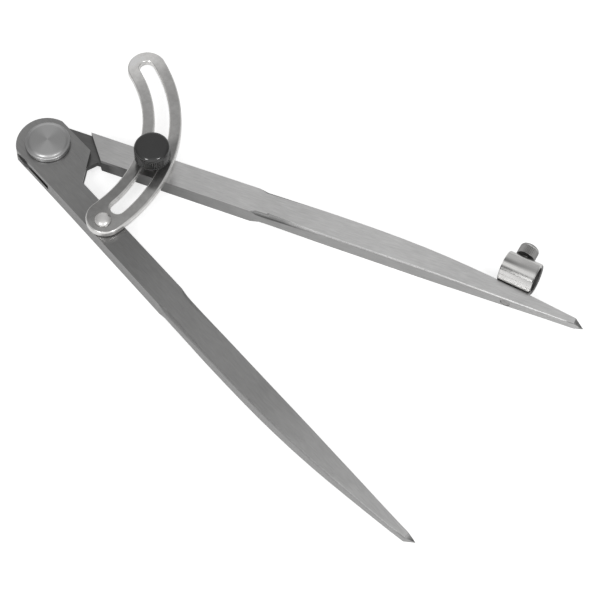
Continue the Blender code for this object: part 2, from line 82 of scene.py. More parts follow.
away = Vector((AIM_SPOT.x - CAMERA_SPOT.x, AIM_SPOT.y - CAMERA_SPOT.y, 0.0)).normalized()
right = Vector((away.y, -away.x, 0.0))
up = Vector((0.0, 0.0, 1.0))
print("away from the camera:", [round(value, 3) for value in away])

# %% [markdown]
# ## Helpers for node trees
#
# A material or a geometry tree is a list of nodes and the wires between them. The first helper
# below adds one node and fills its inputs: a plain value is set on the socket, and an output
# socket is wired to it. The others are short names for the nodes that come up again and again.

# %% Helpers that add nodes
def add_node(tree, kind, inputs=(), **settings):
    """Add a node, set its options, and set or wire its inputs by name or number."""
    node = tree.nodes.new(kind)
    for key, value in settings.items():
        setattr(node, key, value)
    for key, value in dict(inputs).items():
        socket = node.inputs[key]
        if isinstance(value, bpy.types.NodeSocket):
            tree.links.new(value, socket)
        else:
            socket.default_value = value
    return node


def math_node(tree, operation, first, second=0.0):
    """Result socket of one Math node."""
    return add_node(tree, "ShaderNodeMath", {0: first, 1: second}, operation=operation).outputs[0]


def vector_node(tree, operation, first, second):
    """Vector that one Vector Math node makes."""
    return add_node(
        tree, "ShaderNodeVectorMath", {0: first, 1: second}, operation=operation
    ).outputs[0]


def dot_node(tree, vector, line):
    """How far a vector goes along a line of length one."""
    return add_node(
        tree, "ShaderNodeVectorMath", {0: vector, 1: tuple(line)}, operation="DOT_PRODUCT"
    ).outputs["Value"]


def part_of(tree, vector, axis):
    """X, Y or Z of a vector."""
    return add_node(tree, "ShaderNodeSeparateXYZ", {0: vector}).outputs[axis]


def ramp_node(tree, value, stops):
    """Grey level that follows a value through (place, level) stops."""
    node = add_node(tree, "ShaderNodeValToRGB", {0: value})
    while len(node.color_ramp.elements) < len(stops):
        node.color_ramp.elements.new(0.5)
    for element, (place, level) in zip(node.color_ramp.elements, stops):
        element.position = place
        element.color = (level, level, level, 1.0)
    return node.outputs[0]


def blank_material(name):
    """New material, and its node tree without any node."""
    material = bpy.data.materials.new(name)
    material.use_nodes = True
    material.node_tree.nodes.clear()
    return material, material.node_tree


# %% [markdown]
# ## Floor
#
# The tool lies on a plain white table. The floor is a large sheet whose own colour is nearly
# white. A part of its brightness is given to camera and mirror rays only, so the ground reads
# white and the steel mirrors it, while the soft shadow under the tool stays.

# %% Floor
FLOOR_HALF = 3.0
FLOOR_DROP = 0.0001
FLOOR_WHITE = 0.80
GLOW_TO_CAMERA = 0.64
GLOW_TO_MIRRORS = 0.20

floor_edit = bmesh.new()
floor_corners = [(-1, -1), (1, -1), (1, 1), (-1, 1)]
floor_edit.faces.new(
    [
        floor_edit.verts.new((FLOOR_HALF * across, FLOOR_HALF * along, -FLOOR_DROP))
        for across, along in floor_corners
    ]
)
floor_mesh = bpy.data.meshes.new("floor")
floor_edit.to_mesh(floor_mesh)
floor_edit.free()
floor = bpy.data.objects.new("floor", floor_mesh)
bpy.context.scene.collection.objects.link(floor)

floor_paint, floor_tree = blank_material("white_table")
light_path = add_node(floor_tree, "ShaderNodeLightPath")
mirrored = math_node(
    floor_tree,
    "MAXIMUM",
    light_path.outputs["Is Glossy Ray"],
    light_path.outputs["Is Transmission Ray"],
)
to_mirrors = math_node(floor_tree, "MULTIPLY", mirrored, GLOW_TO_MIRRORS)
to_camera = math_node(floor_tree, "MULTIPLY", light_path.outputs["Is Camera Ray"], GLOW_TO_CAMERA)
matt = add_node(
    floor_tree, "ShaderNodeBsdfDiffuse", {"Color": (FLOOR_WHITE, FLOOR_WHITE, FLOOR_WHITE, 1.0)}
)
glow_strength = math_node(floor_tree, "ADD", to_camera, to_mirrors)
glow = add_node(
    floor_tree, "ShaderNodeEmission", {"Color": (1.0, 1.0, 1.0, 1.0), "Strength": glow_strength}
)
both = add_node(floor_tree, "ShaderNodeAddShader", {0: matt.outputs[0], 1: glow.outputs[0]})
add_node(floor_tree, "ShaderNodeOutputMaterial", {"Surface": both.outputs[0]})
floor_mesh.materials.append(floor_paint)
print("floor is", 2 * FLOOR_HALF, "m wide")

# %% [markdown]
# ## Studio light
#
# Polished steel shows its surroundings more than its own colour, so the room matters. It is pale
# behind the camera and darkens away from it and towards both sides, which gives the flat tops
# their grey. The camera itself sees plain white. Two small soft boxes stand left and right of
# the camera: they make the twin highlights on the domed rivet and on the knob.

# %% The room
ROOM_LEVEL = 0.92
SIDE_LOSS = 0.45
ROOM_STOPS = (
    (0.00, 1.00),
    (0.14, 0.95),
    (0.22, 0.82),
    (0.42, 0.72),
    (0.60, 0.61),
    (0.69, 0.58),
    (0.78, 0.575),
    (0.83, 0.54),
    (1.00, 0.64),
)

room = bpy.data.worlds.new("studio")
bpy.context.scene.world = room
room.use_nodes = True
room_tree = room.node_tree
room_tree.nodes.clear()
heading = add_node(room_tree, "ShaderNodeTexCoord").outputs["Generated"]
forwards = dot_node(room_tree, heading, away)
forward_share = add_node(
    room_tree, "ShaderNodeMath", {0: forwards, 1: 0.5, 2: 0.5}, operation="MULTIPLY_ADD"
).outputs[0]
room_grey = ramp_node(room_tree, forward_share, ROOM_STOPS)
room_path = add_node(room_tree, "ShaderNodeLightPath")
seen_room = add_node(
    room_tree, "ShaderNodeBackground", {"Color": (1.0, 1.0, 1.0, 1.0), "Strength": 1.0}
)
sideways = dot_node(room_tree, heading, right)
side_share = math_node(room_tree, "MULTIPLY", sideways, sideways)
side_loss = math_node(room_tree, "MULTIPLY", side_share, SIDE_LOSS)
lit_room = add_node(
    room_tree,
    "ShaderNodeBackground",
    {"Color": room_grey, "Strength": math_node(room_tree, "SUBTRACT", ROOM_LEVEL, side_loss)},
)
mixed_room = add_node(
    room_tree,
    "ShaderNodeMixShader",
    {0: room_path.outputs["Is Camera Ray"], 1: lit_room.outputs[0], 2: seen_room.outputs[0]},
)
add_node(room_tree, "ShaderNodeOutputWorld", {"Surface": mixed_room.outputs[0]})
print("room levels:", [level for _, level in ROOM_STOPS])

# %% Soft boxes
BOX_ASIDE = 0.45
BOX_AWAY = -0.55
BOX_UP = 0.70
BOX_DISTANCE = 1.2
BOX_WIDTH = 0.26
BOX_WATTS = 1.8


def soft_box(name, aside):
    """Square lamp to one side of the camera, aimed at the tool."""
    data = bpy.data.lights.new(name, "AREA")
    data.shape = "SQUARE"
    data.size = BOX_WIDTH
    data.energy = BOX_WATTS
    lamp = bpy.data.objects.new(name, data)
    toward = (aside * right + BOX_AWAY * away + BOX_UP * up).normalized()
    lamp.location = AIM_SPOT + BOX_DISTANCE * toward
    lamp.rotation_euler = (-toward).to_track_quat("-Z", "Y").to_euler()
    bpy.context.scene.collection.objects.link(lamp)


soft_box("left_box", -BOX_ASIDE)
soft_box("right_box", BOX_ASIDE)

# %% [markdown]
# ## Steel
#
# One steel recipe serves both legs. Ground steel carries fine lines along the leg from the belt
# that finished it, so a noise texture is stretched along the grain and feeds colour, roughness
# and bump alike. Where the edge was ground away the marks run across instead, and the recipe
# finds these slopes by how far the surface leans from level.

# %% Textures and levels
def grain(tree, spot, turn, scale, stretch, detail=3.0):
    """Noise lines along a direction in the XY plane: 0 to 1, about 0.5 on average."""
    turned = add_node(tree, "ShaderNodeMapping", {"Vector": spot, "Rotation": (0.0, 0.0, -turn)})
    squeezed = add_node(
        tree,
        "ShaderNodeMapping",
        {"Vector": turned.outputs[0], "Scale": (scale * stretch[0], scale * stretch[1], scale)},
    )
    noise = add_node(
        tree,
        "ShaderNodeTexNoise",
        {"Vector": squeezed.outputs[0], "Scale": 1.0, "Detail": detail, "Roughness": 0.6},
    )
    return noise.outputs["Fac"]


def spread(tree, value, low, high):
    """Stretch a 0 to 1 texture between two levels."""
    return add_node(
        tree,
        "ShaderNodeMapRange",
        {"Value": value, "From Min": 0.3, "From Max": 0.7, "To Min": low, "To Max": high},
    ).outputs[0]


def blend_node(tree, share, first, second):
    """Value between two values."""
    return add_node(
        tree, "ShaderNodeMix", {0: share, 2: first, 3: second}, data_type="FLOAT"
    ).outputs[0]


def smooth_node(tree, value, start, end, low, high, easing="SMOOTHSTEP"):
    """Level that goes from low to high between two values."""
    return add_node(
        tree,
        "ShaderNodeMapRange",
        {"Value": value, "From Min": start, "From Max": end, "To Min": low, "To Max": high},
        interpolation_type=easing,
    ).outputs[0]


def tinted(tree, level, warmth=1.0):
    """Grey colour of a level, slightly warm where warmth is under 1."""
    return add_node(
        tree,
        "ShaderNodeVectorMath",
        {0: (1.0, 1.0 - (1.0 - warmth) * 0.4, warmth), "Scale": level},
        operation="SCALE",
    ).outputs[0]


def by_place(tree, place, stops):
    """Level that follows a place in metres through (place, level) stops."""
    start, end = stops[0][0], stops[-1][0]
    share = smooth_node(tree, place, start, end, 0.0, 1.0, "LINEAR")
    shares = [((spot - start) / (end - start), level) for spot, level in stops]
    return ramp_node(tree, share, shares)


# %% The steel recipe
LINE_SCALE = 6000.0
LINE_STRETCH = 0.04
LINE_DEPTH = 0.00002
LINE_STRENGTH = 0.45
LINE_LEVELS = (0.91, 1.09)
SCUFF_SCALE = 1800.0
SCUFF_LEVELS = (0.955, 1.045)
PATCH_SCALE = 300.0
PATCH_LEVELS = (0.96, 1.04)
CROSS_LEVELS = (0.72, 1.28)
SLOPE_LEANS = ((0.10, 0.0), (0.30, 1.0), (0.93, 1.0), (0.985, 0.0))
TOP_LEANS = ((0.35, 0.0), (0.85, 1.0))
SLOPE_ROUGH = 0.16
ROOT_HEIGHT = (0.0045, 0.0052)
ROOT_LENGTH = (0.019, 0.026)
STEEL_WARMTH = 0.99


def steel(name, turn, top, side, slope, rough, painted_root_shade=1.0):
    """Ground steel leg. top, side and slope are (place along the leg, level) stops in metres:
    the steel's own level with painted light and shade in it. The root level is painted shade
    on the thin part at the head, low between the fork's cheeks."""
    material, tree = blank_material(name)
    spot = add_node(tree, "ShaderNodeTexCoord").outputs["Object"]
    lines = grain(tree, spot, turn, LINE_SCALE, (LINE_STRETCH, 1.0))
    cross = grain(tree, spot, turn, LINE_SCALE, (1.0, 3 * LINE_STRETCH))
    patches = grain(tree, spot, turn, PATCH_SCALE, (0.5, 1.0), detail=4.0)
    scuffs = grain(tree, spot, turn, SCUFF_SCALE, (0.10, 1.0), detail=2.0)
    turned = add_node(tree, "ShaderNodeMapping", {"Vector": spot, "Rotation": (0.0, 0.0, -turn)})
    along = part_of(tree, turned.outputs[0], "X")
    height = part_of(tree, turned.outputs[0], "Z")
    normal = add_node(tree, "ShaderNodeNewGeometry").outputs["Normal"]
    lean = math_node(tree, "ABSOLUTE", part_of(tree, normal, "Z"))
    on_slope = ramp_node(tree, lean, SLOPE_LEANS)
    on_top = ramp_node(tree, lean, TOP_LEANS)
    # Painted light and shade, with the steel's own level: tops and sides follow their own stops.
    flat_steel_and_light = blend_node(tree, on_top, by_place(tree, along, side), by_place(tree, along, top))
    # Painted shade on the tongue's thin part at the head, low between the fork's cheeks.
    over_root = smooth_node(tree, height, *ROOT_HEIGHT, painted_root_shade, 1.0)
    past_root = smooth_node(tree, along, *ROOT_LENGTH, 0.0, 1.0)
    level = math_node(
        tree, "MULTIPLY", flat_steel_and_light, math_node(tree, "MAXIMUM", over_root, past_root)
    )
    fine = math_node(
        tree, "MULTIPLY", spread(tree, lines, *LINE_LEVELS), spread(tree, scuffs, *SCUFF_LEVELS)
    )
    fine = math_node(tree, "MULTIPLY", fine, spread(tree, patches, *PATCH_LEVELS))
    coarse = math_node(tree, "MULTIPLY", spread(tree, cross, *CROSS_LEVELS), fine)
    coarse = math_node(tree, "MULTIPLY", coarse, by_place(tree, along, slope))
    shade = blend_node(tree, on_slope, fine, coarse)
    marks = blend_node(tree, on_slope, lines, cross)
    bumps = add_node(
        tree,
        "ShaderNodeBump",
        {"Height": marks, "Distance": LINE_DEPTH, "Strength": LINE_STRENGTH},
    )
    rough_here = math_node(
        tree,
        "ADD",
        spread(tree, patches, rough - 0.03, rough + 0.04),
        math_node(tree, "MULTIPLY", on_slope, SLOPE_ROUGH),
    )
    shader = add_node(
        tree,
        "ShaderNodeBsdfPrincipled",
        {
            "Base Color": tinted(tree, math_node(tree, "MULTIPLY", level, shade), STEEL_WARMTH),
            "Roughness": rough_here,
            "Metallic": 1.0,
            "Normal": bumps.outputs[0],
        },
    )
    add_node(tree, "ShaderNodeOutputMaterial", {"Surface": shader.outputs[0]})
    return material


# %% Finishes of the legs, with painted light and shade
TONGUE_TURN = math.radians(28.637)

# Painted light and shade with the steel's own level. Tops and sides follow their own levels along
# the leg as light falls on them, and the tops brighten towards the point. The tongue's side is
# darkest near the head. The tip facets and the tongue's slopes near the head are darker. The fork
# leg's steel is darker than the tongue's.
FORK_TOP_STEEL_AND_LIGHT = (
    (-0.011, 0.37),
    (0.000, 0.336),
    (0.012, 0.332),
    (0.026, 0.317),
    (0.045, 0.258),
    (0.055, 0.283),
    (0.070, 0.346),
    (0.100, 0.400),
    (0.120, 0.405),
    (0.140, 0.517),
    (0.160, 0.614),
    (0.190, 0.741),
)
TONGUE_TOP_STEEL_AND_LIGHT = (
    (0.015, 0.608),
    (0.026, 0.675),
    (0.045, 0.753),
    (0.055, 0.733),
    (0.070, 0.801),
    (0.080, 0.748),
    (0.100, 0.820),
    (0.120, 0.840),
    (0.150, 0.811),
    (0.190, 0.849),
)
FORK_SIDE_STEEL_AND_LIGHT = ((0.0, 0.31), (0.06, 0.32), (0.16, 0.40), (0.19, 0.44))
FORK_SLOPE_STEEL_AND_LIGHT = ((0.0, 0.85), (0.08, 0.85), (0.1838, 0.97), (0.1842, 0.50), (0.190, 0.50))
TONGUE_SIDE_STEEL_AND_LIGHT = (
    (0.02, 0.30),
    (0.028, 0.16),
    (0.04, 0.235),
    (0.07, 0.37),
    (0.10, 0.43),
    (0.15, 0.46),
    (0.19, 0.58),
)
TONGUE_SLOPE_STEEL_AND_LIGHT = (
    (0.0, 0.40),
    (0.085, 0.36),
    (0.093, 0.85),
    (0.100, 1.02),
    (0.1838, 1.05),
    (0.1842, 0.42),
    (0.190, 0.42),
)

fork_steel = steel(
    "fork_steel",
    0.0,
    top=FORK_TOP_STEEL_AND_LIGHT,
    side=FORK_SIDE_STEEL_AND_LIGHT,
    slope=FORK_SLOPE_STEEL_AND_LIGHT,
    rough=0.30,
)
tongue_steel = steel(
    "tongue_steel",
    TONGUE_TURN,
    top=TONGUE_TOP_STEEL_AND_LIGHT,
    side=TONGUE_SIDE_STEEL_AND_LIGHT,
    slope=TONGUE_SLOPE_STEEL_AND_LIGHT,
    rough=0.32,
    painted_root_shade=0.30,
)
print("leg finishes:", fork_steel.name, tongue_steel.name)

# %% [markdown]
# ## Plated and blackened parts
#
# The wing and the rivets were tumbled before plating, so their gloss is slightly uneven, like
# fine orange peel. The sleeve is smooth bright plate, and the pencil screw is blackened. One
# recipe serves them all: a fine noise moves the gloss and the bumps, a coarse one the level.

# %% Plated finish
MOTTLE_SCALE = 400.0
PEEL_HEIGHT = 0.00004
PEEL_ROUGH = (0.85, 1.20)
PLATE_WARMTH = 0.975


def plate(name, level, rough, peel_scale, peel_depth, mottle=0.05, tone=None, metallic=1.0):
    """Plated metal with an uneven, tumbled gloss. tone is a function that adds the nodes of a
    level that changes over the piece: painted shade and reflection where it is given."""
    material, tree = blank_material(name)
    spot = add_node(tree, "ShaderNodeTexCoord").outputs["Object"]
    peel = grain(tree, spot, 0.0, peel_scale, (1.0, 1.0), detail=5.0)
    patches = grain(tree, spot, 0.0, MOTTLE_SCALE, (1.0, 1.0), detail=3.0)
    shade = spread(tree, patches, 1.0 - mottle, 1.0 + mottle)
    if tone:
        level = math_node(tree, "MULTIPLY", tone(tree, spot), level)
    tint = tinted(tree, math_node(tree, "MULTIPLY", shade, level), PLATE_WARMTH)
    bumps = add_node(
        tree,
        "ShaderNodeBump",
        {"Height": peel, "Distance": PEEL_HEIGHT, "Strength": peel_depth},
    )
    shader = add_node(
        tree,
        "ShaderNodeBsdfPrincipled",
        {
            "Base Color": tint,
            "Roughness": spread(tree, peel, *(rough * part for part in PEEL_ROUGH)),
            "Metallic": metallic,
            "Normal": bumps.outputs[0],
        },
    )
    add_node(tree, "ShaderNodeOutputMaterial", {"Surface": shader.outputs[0]})
    return material


# %% [markdown]
# ## Tones that change over a piece
#
# The wing's level face darkens towards its foot, as painted shade and reflection, and the
# sleeve has painted reflection bands along it, which differ a little at its two ends, with
# painted shade where it meets the leg. A short list of places or angles, each with a level, is
# the plainest way to write down such a change. The pencil screw is painted darker under its
# knurled head, as shade.

# %% Places on the wing, the sleeve and the pencil screw
SLEEVE_HEADING = TONGUE_TURN + math.radians(-6.0)
SCREW_BACK = 0.0011
SCREW_HEAD_LOW = 0.0060
SCREW_HEAD_EDGE = 0.0062
# Painted shade: level of the shank and the head's underside.
SCREW_SHADE_LEVEL = 0.55
REFLECTION_BLEND = 0.005
LEVEL_LEANS = (0.90, 0.985)


def axis_of(node):
    """Middle of a node's box."""
    low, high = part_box(node)
    return (low + high) / 2


sleeve_middle = axis_of("pencil_sleeve")
sleeve_line = Vector((math.cos(SLEEVE_HEADING), math.sin(SLEEVE_HEADING), 0.0))
clamp_line = Vector((-math.sin(SLEEVE_HEADING), math.cos(SLEEVE_HEADING), 0.0))
clamp_start = sleeve_middle - SCREW_BACK * sleeve_line
print("sleeve's middle in mm:", [round(1000 * value, 1) for value in sleeve_middle])

# %% Painted shade and reflections of the wing, the sleeve and the pencil screw
# Painted shade and reflection on the wing's level face: (place along X in metres, level).
WING_SHADE_STOPS = (
    (-0.0125, 1.14),
    (-0.006, 1.16),
    (0.000, 0.90),
    (0.004, 0.67),
    (0.010, 0.59),
    (0.018, 0.58),
    (0.026, 0.57),
    (0.029, 0.34),
    (0.034, 0.36),
    (0.038, 0.50),
    (0.045, 0.52),
)
# Painted reflection bands, and from about 160 to 186 degrees painted shade next to the leg:
# (degrees round the axis, level).
LEFT_REFLECTIONS_AND_SHADE = (
    (0, 0.66), (60, 0.76), (66, 0.84), (72, 0.90), (84, 0.86), (90, 0.58), (96, 0.37),
    (100, 0.34), (103, 0.60), (108, 1.11), (116, 1.11), (120, 0.50), (122, 0.22), (124, 0.08),
    (127, 0.05), (130, 0.07), (133, 0.16), (137, 0.90), (143, 1.11), (158, 1.00), (162, 0.78),
    (168, 0.40), (174, 0.10), (180, 0.08), (186, 0.50), (360, 0.66),
)
RIGHT_REFLECTIONS_AND_SHADE = (
    (0, 0.66), (60, 0.79), (84, 0.72), (90, 0.62), (96, 0.61), (102, 0.86), (108, 1.08),
    (116, 1.08), (120, 0.70), (122, 0.40), (124, 0.20), (127, 0.13), (130, 0.17), (133, 0.33),
    (137, 0.80), (144, 0.92), (150, 1.11), (157, 1.10), (162, 0.82), (168, 0.50), (174, 0.18),
    (180, 0.12), (186, 0.50), (360, 0.66),
)


def distance_along(tree, spot, start, line):
    """Distance of a spot from a start, along a line of length one."""
    return dot_node(tree, vector_node(tree, "SUBTRACT", spot, tuple(start)), line)


def wing_painted_shade(tree, spot):
    """Painted shade and reflection: the level face darkens towards the foot; rims keep full level.
    """
    normal = add_node(tree, "ShaderNodeNewGeometry").outputs["Normal"]
    upright = math_node(tree, "ABSOLUTE", part_of(tree, normal, "Z"))
    is_level = smooth_node(tree, upright, *LEVEL_LEANS, 0.0, 1.0)
    return blend_node(tree, is_level, 1.0, by_place(tree, part_of(tree, spot, "X"), WING_SHADE_STOPS))


def sleeve_reflections_and_shade(tree, spot):
    """Painted reflection bands along the tube, and painted shade where it meets the leg: a
    level that follows the angle, in degrees, round its axis.
    """
    outward = distance_along(tree, spot, sleeve_middle, clamp_line)
    upward = distance_along(tree, spot, sleeve_middle, up)
    angle = math_node(tree, "ARCTAN2", upward, outward)
    whole_angle = math_node(tree, "FLOORED_MODULO", angle, math.tau)
    degrees = math_node(tree, "MULTIPLY", whole_angle, 360 / math.tau)
    along = distance_along(tree, spot, sleeve_middle, sleeve_line)
    share = smooth_node(tree, along, -REFLECTION_BLEND, REFLECTION_BLEND, 0.0, 1.0)
    left_level = by_place(tree, degrees, LEFT_REFLECTIONS_AND_SHADE)
    right_level = by_place(tree, degrees, RIGHT_REFLECTIONS_AND_SHADE)
    return blend_node(tree, share, left_level, right_level)


def screw_painted_shade(tree, spot):
    """Painted shade: the shank and the head's underside are darker than the knurled head."""
    along = distance_along(tree, spot, clamp_start, clamp_line)
    return smooth_node(tree, along, SCREW_HEAD_LOW, SCREW_HEAD_EDGE, SCREW_SHADE_LEVEL, 1.0)


# %% The plated finishes
wing_plate = plate("wing_plate", 0.88, 0.20, 900.0, 0.30, 0.10, wing_painted_shade, metallic=0.85)
rivet_plate = plate("rivet_plate", 0.90, 0.32, 1500.0, 0.20, mottle=0.06)
sleeve_plate = plate("sleeve_plate", 0.90, 0.20, 500.0, 0.12, 0.04, sleeve_reflections_and_shade)
screw_black = plate("screw_black", 0.52, 0.38, 2500.0, 0.30, 0.05, screw_painted_shade)
rivet_end = plate("rivet_end", 0.40, 0.36, 1500.0, 0.20, mottle=0.06)
bore_plate = plate("bore_plate", 0.22, 0.45, 1500.0, 0.30)
print("plated finishes:", wing_plate.name, rivet_plate.name, sleeve_plate.name)

# %% [markdown]
# ## Turned finish
#
# The pivot rivet's dome and the black knob were turned, and their faces keep fine rings. The
# fan of light that such rings spread is painted into the colour as a painted sheen: the two
# quarters to the left and right of the centre, as the camera sees them, are darker. The knob
# also has a film of oil over its black, which a thin coat gives.

# %% Turned finish
# Painted sheen fan: how much darker the colour is to the left and right of a turned face's centre,
# and from where it darkens.
PAINTED_FAN_LOSS = 0.22
PAINTED_FAN_START = 0.3
SPECK_SCALE = 2500.0
SPECK_HEIGHT = 6
RING_STRENGTH = 0.5
OIL_ROUGH = 0.10
OIL_IOR = 1.8


def turned_finish(name, level, metallic, rough, centre, ring_pitch, ring_depth, uneven, oil=0.0):
    """Metal with fine lathe rings about an upright axis through centre, and a painted sheen fan:
    the colour is darker in the two quarters to the left and right of the centre, as the camera
    sees them."""
    material, tree = blank_material(name)
    spot = add_node(tree, "ShaderNodeTexCoord").outputs["Object"]
    local = add_node(
        tree,
        "ShaderNodeMapping",
        {"Vector": spot, "Location": (-centre[0], -centre[1], 0.0), "Scale": (1.0, 1.0, 0.0)},
    )
    radius = add_node(
        tree, "ShaderNodeVectorMath", {0: local.outputs[0]}, operation="LENGTH"
    ).outputs["Value"]
    rings = math_node(tree, "SINE", math_node(tree, "MULTIPLY", radius, math.tau / ring_pitch))
    specks = grain(tree, spot, 0.0, SPECK_SCALE, (1.0, 1.0), detail=4.0)
    speck_height = math_node(tree, "MULTIPLY", specks, SPECK_HEIGHT * uneven)
    height = math_node(tree, "ADD", rings, speck_height)
    bumps = add_node(
        tree,
        "ShaderNodeBump",
        {"Height": height, "Distance": ring_depth, "Strength": RING_STRENGTH},
    )
    spoke = add_node(
        tree, "ShaderNodeVectorMath", {0: local.outputs[0]}, operation="NORMALIZE"
    ).outputs[0]
    # Painted sheen: the colour darkens to the left and right of the centre, as the camera sees
    # them.
    aside = math_node(tree, "ABSOLUTE", dot_node(tree, spoke, right))
    fan = smooth_node(tree, aside, PAINTED_FAN_START, 1.0, 1.0, 1.0 - PAINTED_FAN_LOSS)
    shade = math_node(tree, "MULTIPLY", spread(tree, specks, 1 - uneven, 1 + uneven), fan)
    tint = tinted(tree, math_node(tree, "MULTIPLY", shade, level))
    shader = add_node(
        tree,
        "ShaderNodeBsdfPrincipled",
        {
            "Base Color": tint,
            "Roughness": spread(tree, specks, rough - uneven / 3, rough + uneven / 2),
            "Metallic": metallic,
            "Specular IOR Level": 0.0,
            "Coat Weight": oil,
            "Coat Roughness": OIL_ROUGH,
            "Coat IOR": OIL_IOR,
            "Normal": bumps.outputs[0],
        },
    )
    add_node(tree, "ShaderNodeOutputMaterial", {"Surface": shader.outputs[0]})
    return material


knob_black = turned_finish(
    "knob_black", 0.010, 0.30, 0.34, axis_of("thumb_screw"), 0.0004, 0.00006, 0.10, oil=1.0
)
dome_plate = turned_finish("dome_plate", 0.54, 1.0, 0.36, (0.0, 0.0), 0.0009, 0.000001, 0.03)
print("finishes:", sorted(material.name for material in bpy.data.materials))

# %% [markdown]
# ## Softened edges
#
# No real edge is perfectly sharp: each has a narrow round that catches the light, and a render
# without it looks like a drawing. Each plain solid is copied, its loose triangles are welded
# and merged into flat faces, and a Bevel modifier rounds the edges by a tenth of a millimetre
# or so. The copy then stands for the solid.


# %% Plain meshes and even shading
WELD_DISTANCE = 1e-6
FLAT_ANGLE = 0.004
BEVEL_ANGLE = math.radians(35)
SHARP_ANGLE = math.radians(32)


def keep_mesh(source, name):
    """Plain mesh object of another object's evaluated shape."""
    graph = bpy.context.evaluated_depsgraph_get()
    mesh = bpy.data.meshes.new_from_object(source.evaluated_get(graph), depsgraph=graph)
    mesh.name = name
    made = bpy.data.objects.new(name, mesh)
    bpy.context.scene.collection.objects.link(made)
    return made


def even_shading(rounded, name):
    """Smooth shading that large flat faces decide, so that they stay flat to the eye."""
    for face in rounded.data.polygons:
        face.use_smooth = True
    rounded.data.set_sharp_from_angle(angle=SHARP_ANGLE)
    shading = rounded.modifiers.new("even", "WEIGHTED_NORMAL")
    shading.keep_sharp = True
    shading.weight = 100
    piece = keep_mesh(rounded, name)
    bpy.data.objects.remove(rounded)
    return piece


def take_in(piece, node, body):
    """Let a finished piece stand for a CAD node."""
    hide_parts(node)
    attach(piece, body)


# %% Copy a solid and round its edges
def soften(node, width, segments, finish, body):
    """Stand-in for a CAD node with rounded edges and smooth shading."""
    welded = bmesh.new()
    welded.from_mesh(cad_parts[node].data)
    bmesh.ops.remove_doubles(welded, verts=welded.verts, dist=WELD_DISTANCE)
    bmesh.ops.dissolve_limit(
        welded, angle_limit=FLAT_ANGLE, verts=welded.verts, edges=welded.edges
    )
    mesh = bpy.data.meshes.new(node + "_welded")
    welded.to_mesh(mesh)
    welded.free()
    draft = bpy.data.objects.new(node + "_welded", mesh)
    bpy.context.scene.collection.objects.link(draft)
    rounding = draft.modifiers.new("soft_edges", "BEVEL")
    rounding.width = width
    rounding.segments = segments
    rounding.limit_method = "ANGLE"
    rounding.angle_limit = BEVEL_ANGLE
    rounding.harden_normals = False
    rounded = keep_mesh(draft, node + "_rounded")
    bpy.data.objects.remove(draft)
    piece = even_shading(rounded, node + "_finished")
    piece.data.materials.clear()
    piece.data.materials.append(finish)
    take_in(piece, node, body)
    print(piece.name, len(piece.data.polygons), "faces")
    return piece


# %% [markdown]
# ## Geometry trees
#
# The wing's plate follows a rule, and so do the ridges round both screws, so Geometry Nodes make
# them. Each tree is written once with named inputs for its sizes, a modifier fills them in, and
# the result is turned into a plain mesh. The tree ends by making its instances real and giving
# them their material.


# %% Start, end and use of a geometry tree
def new_tree(name, sizes):
    """Geometry tree with named number inputs. Returns the tree and its inputs."""
    tree = bpy.data.node_groups.new(name, "GeometryNodeTree")
    tree.interface.new_socket("Geometry", in_out="INPUT", socket_type="NodeSocketGeometry")
    for size in sizes:
        tree.interface.new_socket(size, in_out="INPUT", socket_type="NodeSocketFloat")
    tree.interface.new_socket("Finish", in_out="INPUT", socket_type="NodeSocketMaterial")
    tree.interface.new_socket("Geometry", in_out="OUTPUT", socket_type="NodeSocketGeometry")
    return tree, add_node(tree, "NodeGroupInput").outputs


def end_tree(tree, geometry, given):
    """Last nodes of a tree: real geometry with its finish."""
    real = add_node(tree, "GeometryNodeRealizeInstances", {0: geometry})
    dressed = add_node(
        tree, "GeometryNodeSetMaterial", {"Geometry": real.outputs[0], "Material": given["Finish"]}
    )
    add_node(tree, "NodeGroupOutput", {0: dressed.outputs[0]})


def run_tree(piece, tree, values):
    """Plain mesh object that a tree makes of a piece, with the named inputs set."""
    modifier = piece.modifiers.new(tree.name, "NODES")
    modifier.node_group = tree
    for socket in tree.interface.items_tree:
        if socket.in_out == "INPUT" and socket.name in values:
            modifier[socket.identifier] = values[socket.name]
    made = keep_mesh(piece, piece.name)
    bpy.data.objects.remove(piece)
    return made


# %% [markdown]
# ## The wing
#
# The wing is punched from strip, and its outline follows one rule: an outer arc, a half circle
# at the top, the inner arc back and a half circle at the foot. The slot follows the same rule
# with a smaller width. A point that walks along this path for four steps gives the whole
# outline, so a plain grid can be bent into the wall, its rounded edges included: one direction
# of the grid walks the path, the other climbs from the lower face to the upper one.

# %% The rule of the outline
OUTLINE_STEPS = 160
ROUND_STEPS = 4


def held(tree, value, start):
    """Value less start, held between 0 and 1."""
    return add_node(
        tree, "ShaderNodeMath", {0: value, 1: start}, operation="SUBTRACT", use_clamp=True
    ).outputs[0]


def pointing(tree, angle, length):
    """Vector of a length at an angle in the XY plane."""
    across = math_node(tree, "MULTIPLY", length, math_node(tree, "COSINE", angle))
    forward = math_node(tree, "MULTIPLY", length, math_node(tree, "SINE", angle))
    return add_node(tree, "ShaderNodeCombineXYZ", {0: across, 1: forward}).outputs[0]


